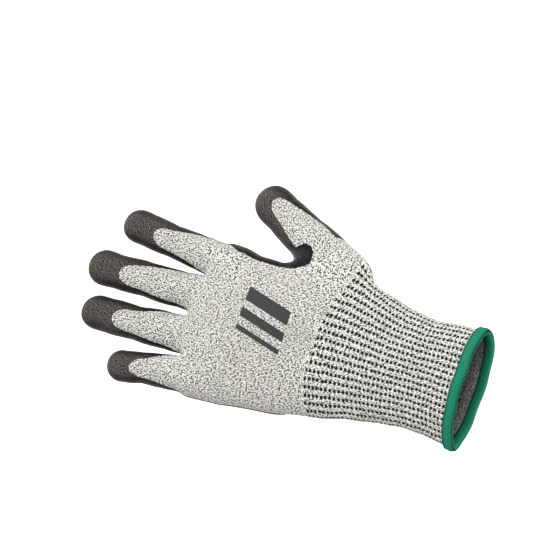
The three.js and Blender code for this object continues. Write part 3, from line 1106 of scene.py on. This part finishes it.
class Nodes:
    """Builds one material's nodes from short calls. Every call that adds a node returns a Value."""

    def __init__(self, name):
        self.material = bpy.data.materials.new(name)
        self.material.use_nodes = True
        self.tree = self.material.node_tree
        self.shader = self.tree.nodes["Principled BSDF"]

    def wire(self, socket, value):
        if isinstance(value, Value):
            self.tree.links.new(value.socket, socket)
        elif value is not None:
            socket.default_value = value

    def add(self, kind, output, inputs, **settings):
        """A node with its settings and its inputs, by name or number."""
        node = self.tree.nodes.new(f"ShaderNode{kind}")
        for setting, value in settings.items():
            setattr(node, setting, value)
        for key, value in inputs.items():
            self.wire(node.inputs[key], value)
        return Value(self, node.outputs[output])

    def math(self, operation, a, b=None):
        return self.add("Math", 0, {0: a, 1: b}, operation=operation)

    def attribute(self, name, output="Vector"):
        return self.add("Attribute", output, {}, attribute_name=name)

    def object_place(self):
        return self.add("TexCoord", "Object", {})

    def split(self, vector):
        node = self.tree.nodes.new("ShaderNodeSeparateXYZ")
        self.wire(node.inputs[0], vector)
        return [Value(self, socket) for socket in node.outputs]

    def join(self, x, y, z=0.0):
        return self.add("CombineXYZ", 0, {0: x, 1: y, 2: z})

    def noise(self, vector, scale, detail=2.0, roughness=0.5):
        inputs = {"Vector": vector, "Scale": scale, "Detail": detail, "Roughness": roughness}
        return self.add("TexNoise", "Fac", inputs)

    def step(self, value, low, high):
        inputs = {"Value": value, "From Min": low, "From Max": high}
        return self.add("MapRange", "Result", inputs, interpolation_type="SMOOTHSTEP")

    def mix(self, factor, a, b):
        return self.add("Mix", 2, {0: factor, 6: a, 7: b}, data_type="RGBA")

    def bump(self, height, strength, distance):
        inputs = {"Strength": strength, "Distance": distance, "Height": height}
        return self.add("Bump", 0, inputs)

    def swell(self, value):
        """Rises from 0 to 1 and falls again over each whole step of a value."""
        return self.math("SINE", self.math("FRACT", value) * math.pi)

    def yarn(self, around, along):
        """Height of rounded yarn, 0 to 1, one bead for each whole step of both values."""
        return self.swell(around) ** 0.6 * self.swell(along) ** 0.5

    def set(self, **values):
        """Sets sockets of the shader. An underscore in a name stands for a space."""
        for name, value in values.items():
            self.wire(self.shader.inputs[name.replace("_", " ")], value)

    def finish(self, color, roughness, normal=None):
        self.set(Base_Color=color, Roughness=roughness, Normal=normal)
        return self.material


def rgb(red, green, blue):
    """A colour from display values of 0 to 255."""
    def linear(value):
        value /= 255
        return value / 12.92 if value <= 0.04045 else ((value + 0.055) / 1.055) ** 2.4

    return (linear(red), linear(green), linear(blue), 1.0)


KNIT_LIGHT = rgb(247, 246, 238)
KNIT_MID = rgb(178, 176, 167)
# dark of the flecks, and also the dark of the painted shade between the stitches and inside the cuff
KNIT_FLECK_AND_SHADE = rgb(20, 20, 22)

# Sizes of the spots in the noise, as spots for each metre
FLECKS = 1380.0
FLECK_PATCHES = 330.0
YARN_TONES = 2100.0
FUZZ = 2600.0
FILM_GRAIN = 1500.0
FILM_PATCHES = 110.0
FILM_WRINKLES = 420.0
TAPE_PATCHES = 500.0
TAPE_WEAVE = 2400.0
THREAD_TWIST = 5200.0
MARK_GRAIN = 1600.0
PAPER_TONES = 3.0

JERSEY_FLECKS = (0.485, 0.56)  # from bare to full in the noise: fewer flecks when higher
RIB_FLECKS = (0.48, 0.58)
FLECK_LEAN = 1.1  # flecks follow the legs of the stitches
FLECK_SQUEEZE = 0.62  # and are longer than wide
GAP_SHADE = 0.42
INSIDE_SHADE = 0.36
LEG_LEAN = 1.5  # rows that the legs of a stitch rise across one column
RIB_ROW_WIDTH = 0.0042
RIB_LEGS = 6.0  # in a row of eyelets
RIB_TURNS = 4.0  # of yarn for each eyelet
TAPE_RIB_WIDTH = 0.0015


def jersey_stitches(nodes):
    """Height of jersey stitches: columns of two legs that lean towards each other."""
    around, along, _ = nodes.split(nodes.attribute("knit"))
    column = around / WALE
    lift = nodes.math("ABSOLUTE", nodes.math("FRACT", column) - 0.5) * LEG_LEAN
    return nodes.yarn(column * 2.0, along / COURSE - lift)


def melange_colour(nodes, coordinates, height, low, high):
    """Light grey melange with dark flecks, and painted shade that darkens it between the stitches."""
    around, along, _ = nodes.split(coordinates)
    slant = nodes.math("PINGPONG", around, WALE / 2) * FLECK_LEAN
    legs = nodes.join(around, (along + slant) * FLECK_SQUEEZE)
    fleck = nodes.step(nodes.noise(legs, FLECKS, 1.0), low, high)
    dark = fleck * (nodes.noise(coordinates, FLECK_PATCHES) * 1.2 + 0.38)
    yarn = nodes.noise(coordinates, YARN_TONES, 2.0, 0.6)
    base = nodes.mix(nodes.step(yarn, 0.3, 0.62), KNIT_MID, KNIT_LIGHT)
    # painted shade: low in the gaps between the stitches the colour is darkened towards the dark of the
    # flecks
    gap = (1.0 - nodes.step(height, 0.02, 0.6)) * GAP_SHADE
    return nodes.mix(nodes.math("MAXIMUM", dark, gap), base, KNIT_FLECK_AND_SHADE)


def jersey_material():
    nodes = Nodes("melange_jersey")
    knit = nodes.attribute("knit")
    height = jersey_stitches(nodes)
    color = melange_colour(nodes, knit, height, *JERSEY_FLECKS)
    fuzz = nodes.noise(knit, FUZZ, 2.0, 0.7)
    nodes.set(Sheen_Weight=0.2, Sheen_Roughness=0.6, Specular_IOR_Level=0.2)
    return nodes.finish(color, fuzz * 0.15 + 0.8, nodes.bump(height + fuzz * 0.35, 1.0, 0.0004))


def rib_material():
    """The cuff's rib: coordinates count eyelet rows round the cuff and eyelets along it."""
    nodes = Nodes("melange_rib")
    around, along, _ = nodes.split(nodes.attribute("knit"))
    spread = nodes.join(around * RIB_ROW_WIDTH, along * EYELET_PITCH)
    height = nodes.yarn(around * RIB_LEGS, along * RIB_TURNS)
    color = melange_colour(nodes, spread, height, *RIB_FLECKS)
    kind = nodes.attribute("eyelet", "Fac")
    # painted shade: the inside of the cuff is darkened towards the dark of the flecks
    inside = nodes.step(kind * -1.0, 0.3, 0.7) * INSIDE_SHADE
    color = nodes.mix(inside, color, KNIT_FLECK_AND_SHADE)
    # painted shade: the eyelets are painted near black, for the shade in their holes
    color = nodes.mix(nodes.step(kind, 0.14, 0.42), color, rgb(8, 8, 9))
    fuzz = nodes.noise(spread, FUZZ, 2.0, 0.7)
    nodes.set(Sheen_Weight=0.2, Specular_IOR_Level=0.25)
    return nodes.finish(color, fuzz * 0.15 + 0.82, nodes.bump(height + fuzz * 0.4, 0.8, 0.0003))


def film_material():
    """Dipped film: black on the palm, thin and mottled where it runs round to the back."""
    nodes = Nodes("dipped_film")
    height = jersey_stitches(nodes)
    knit = nodes.attribute("knit")
    around, along, side = nodes.split(knit)
    grain = nodes.noise(nodes.join(around + along * 0.5, along * 0.8), FILM_GRAIN, 1.0)
    behind = 1.0 - side + nodes.noise(knit, FILM_PATCHES, 3.0) * 0.25
    thin = nodes.step(behind, 0.90, 1.10)
    thick = nodes.step(side, 1.1, 1.9)
    grit = nodes.step(height * 0.25 + grain * 0.75, 0.47, 0.64)
    thin_color = nodes.mix(grit, rgb(8, 7, 7), rgb(106, 99, 93))
    palm_color = nodes.mix(grit, rgb(6, 5, 5), rgb(30, 27, 25))
    color = nodes.mix(thick, nodes.mix(thin, palm_color, thin_color), rgb(4, 4, 4))
    wrinkles = nodes.noise(knit, FILM_WRINKLES) * 3.0
    bumps = (height * 0.7 + grain) * (1.0 - thick) + wrinkles * thick
    normal = nodes.bump(bumps, 0.9, 0.0003)
    palm = 1.0 - nodes.step(1.0 - side, 0.28, 0.55)
    nodes.set(Coat_Weight=palm * 0.14, Coat_Normal=normal, Coat_Roughness=0.28, Specular_IOR_Level=0.12)
    return nodes.finish(color, grain * 0.25 + 0.33 - thick * 0.2, normal)


def binding_material():
    nodes = Nodes("green_binding")
    around, along, _ = nodes.split(nodes.attribute("knit"))
    ribs = nodes.swell(around)
    patches = nodes.noise(nodes.join(around * TAPE_RIB_WIDTH, along), TAPE_PATCHES, 3.0, 0.6)
    # painted shade: each rib is darker towards its edges, where the bump relief falls, and lighter at
    # its middle; the patches vary its tone at random
    tone = nodes.step(ribs, 0.1, 0.75) * (patches + 0.45)
    color = nodes.mix(tone, rgb(6, 58, 44), rgb(27, 126, 96))
    bumps = nodes.swell(along * TAPE_WEAVE) * 0.4 + ribs
    nodes.set(Specular_IOR_Level=0.15)
    return nodes.finish(color, patches * 0.2 + 0.7, nodes.bump(bumps, 0.5, 0.00015))


def thread_material():
    nodes = Nodes("dark_green_thread")
    twist = nodes.noise(nodes.object_place(), THREAD_TWIST)
    color = nodes.mix(twist, rgb(2, 24, 18), rgb(5, 44, 33))
    nodes.set(Specular_IOR_Level=0.1)
    return nodes.finish(color, twist * 0.2 + 0.55, nodes.bump(twist, 0.4, 0.0001))


def mark_material():
    nodes = Nodes("printed_mark")
    grain = nodes.noise(nodes.attribute("knit"), MARK_GRAIN, 3.0, 0.7)
    color = nodes.mix(nodes.step(grain, 0.5, 0.8) * 0.5, rgb(18, 18, 19), rgb(92, 91, 88))
    return nodes.finish(color, grain * 0.2 + 0.5, nodes.bump(jersey_stitches(nodes), 0.7, 0.0003))


def floor_material():
    nodes = Nodes("studio_paper")
    tone = nodes.noise(nodes.object_place(), PAPER_TONES)
    nodes.set(Emission_Color=(1, 1, 1, 1), Emission_Strength=FLOOR_GLOW)
    return nodes.finish(nodes.mix(tone, (0.88, 0.88, 0.88, 1), (0.91, 0.91, 0.91, 1)), 0.9)


# ------------------------------------------------------------------ putting the glove together


BEND_SHARE = 0.98  # of the shorter side of a fold


def dress(piece, material):
    piece.data.materials.append(material)
    return piece


def bend_limb(piece, limb, stretch):
    """Bakes a piece's placement into its mesh. The span that a bend across its fold would take is worked
    out, but not used.
    """
    fold = limb.folds[stretch]
    low = fold - limb.cuts[stretch]
    high = limb.cuts[stretch + 1] - fold if stretch + 1 < len(limb.cuts) else low
    half = BEND_SHARE * min(low, high)
    parent, child = limb.bodies[stretch], limb.bodies[stretch + 1]
    start, end = (limb.start + limb.along * (fold + side * half) for side in (-1, 1))
    tuple(start)
    tuple(end)
    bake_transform(piece)


def bend_wrist(piece):
    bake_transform(piece)


def build_glove():
    jersey, film = jersey_material(), film_material()
    for limb, stretch, knit_piece, film_piece in glove_pieces():
        dress(knit_piece, jersey)
        dress(film_piece, film)
        if limb is None:
            bend_wrist(knit_piece)
            bend_wrist(film_piece)
            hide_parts("hand_shell")
            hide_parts("palm_film")
        else:
            bend_limb(knit_piece, limb, stretch)
            bend_limb(film_piece, limb, stretch)
            segment = limb.bodies[stretch + 1]
            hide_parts(f"{segment}_stall")
            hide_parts(f"{segment}_film")
    cuff = dress(make_cuff(), rib_material())
    bend_wrist(cuff)
    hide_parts("cuff_rib")
    binding = dress(make_binding(), binding_material())
    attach(binding, "cuff")
    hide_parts("cuff_binding")
    thread = thread_material()
    for name, rows in STITCH_ROWS.items():
        row = dress(make_stitches(f"binding_stitches_{name}", rows), thread)
        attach(row, "cuff")
        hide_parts(f"binding_stitch_{name}")
    mark = make_mark()
    mark.data.materials.append(mark_material())
    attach(mark, "hand")


# ------------------------------------------------------------------ stage, light and camera

FLOOR_HEIGHT = CAD_BOX[0][2] - 0.09
FLOOR_SIZE = 60.0
FLOOR_GLOW = 0.45
GLOVE_MIDDLE = Vector([(low + high) / 2 for low, high in zip(CAD_BOX[0], CAD_BOX[1])])

CAMERA_DISTANCE = 3.5
CAMERA_ELEVATION = math.radians(25.8)
CAMERA_SIDE = math.radians(6)
CAMERA_ROLL = math.radians(15)
PICTURE_WIDTH = 0.2936  # what the picture spans at the glove
CUFF_IN_PICTURE = (0.1135, -0.0685)  # the cuff mouth's centre from the picture's middle, right and up
SENSOR_WIDTH = 36.0  # millimetres, as Blender counts a camera's sensor and lens


LIGHTS = (  # name, place and target from the glove's middle, size, power
    ("key", (-0.85, -1.35, 0.25), (0, 0, 0), (0.9, 0.9), 26),
    ("fill", (1.2, -1.1, 0.1), (0, 0, 0), (1.4, 1.4), 7),
    ("back", (-0.6, 1.3, 0.0), (0, 0, 0), (0.35, 0.35), 12),
    ("backdrop", (0.0, 0.6, 1.9), (0, 1.2, -0.2), (3.0, 1.0), 60),
)
WORLD_LIGHT = 0.25


def make_stage():
    """A plain pale floor under the glove."""
    sides = ((-1, -1), (1, -1), (1, 1), (-1, 1))
    corners = [(x * FLOOR_SIZE, y * FLOOR_SIZE, FLOOR_HEIGHT) for x, y in sides]
    mesh = bpy.data.meshes.new("studio_floor")
    mesh.from_pydata(corners, [], [(0, 1, 2, 3)])
    floor = bpy.data.objects.new("studio_floor", mesh)
    bpy.context.scene.collection.objects.link(floor)
    floor.data.materials.append(floor_material())
    floor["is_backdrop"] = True


def make_lights():
    for name, place, target, size, power in LIGHTS:
        light = bpy.data.lights.new(name, "AREA")
        light.shape = "RECTANGLE"
        light.size, light.size_y = size
        light.energy = power
        lamp = bpy.data.objects.new(name, light)
        lamp.location = GLOVE_MIDDLE + Vector(place)
        direction = Vector(target) - Vector(place)
        lamp.rotation_euler = direction.to_track_quat("-Z", "Y").to_euler()
        bpy.context.scene.collection.objects.link(lamp)
    world = bpy.data.worlds.new("studio")
    world.use_nodes = True
    background = world.node_tree.nodes["Background"]
    background.inputs["Color"].default_value = (1, 1, 1, 1)
    background.inputs["Strength"].default_value = WORLD_LIGHT
    bpy.context.scene.world = world


def make_camera():
    """Looks at the back of the hand from the cuff's side, rolled so that the fingers point left."""
    toward = Vector((
        math.sin(CAMERA_SIDE) * math.cos(CAMERA_ELEVATION),
        -math.cos(CAMERA_SIDE) * math.cos(CAMERA_ELEVATION),
        math.sin(CAMERA_ELEVATION),
    ))
    along = (Vector((0, 0, 1)) - toward * toward.z).normalized()
    across = along.cross(toward)
    right = math.cos(CAMERA_ROLL) * along - math.sin(CAMERA_ROLL) * across
    up = toward.cross(right)
    target = -right * CUFF_IN_PICTURE[0] - up * CUFF_IN_PICTURE[1]
    data = bpy.data.cameras.new("camera")
    data.sensor_width = SENSOR_WIDTH
    data.lens = SENSOR_WIDTH * CAMERA_DISTANCE / PICTURE_WIDTH
    camera = bpy.data.objects.new("camera", data)
    camera.matrix_world = Matrix.Translation(target + toward * CAMERA_DISTANCE) @ Matrix((
        (right.x, up.x, toward.x, 0),
        (right.y, up.y, toward.y, 0),
        (right.z, up.z, toward.z, 0),
        (0, 0, 0, 1),
    ))
    bpy.context.scene.collection.objects.link(camera)
    bpy.context.scene.camera = camera
    bpy.context.scene.view_settings.view_transform = "Standard"


make_camera()
make_stage()
make_lights()
build_glove()

[[list(map(float, corner)) for corner in box] for box in (CAD_BOX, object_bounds())]
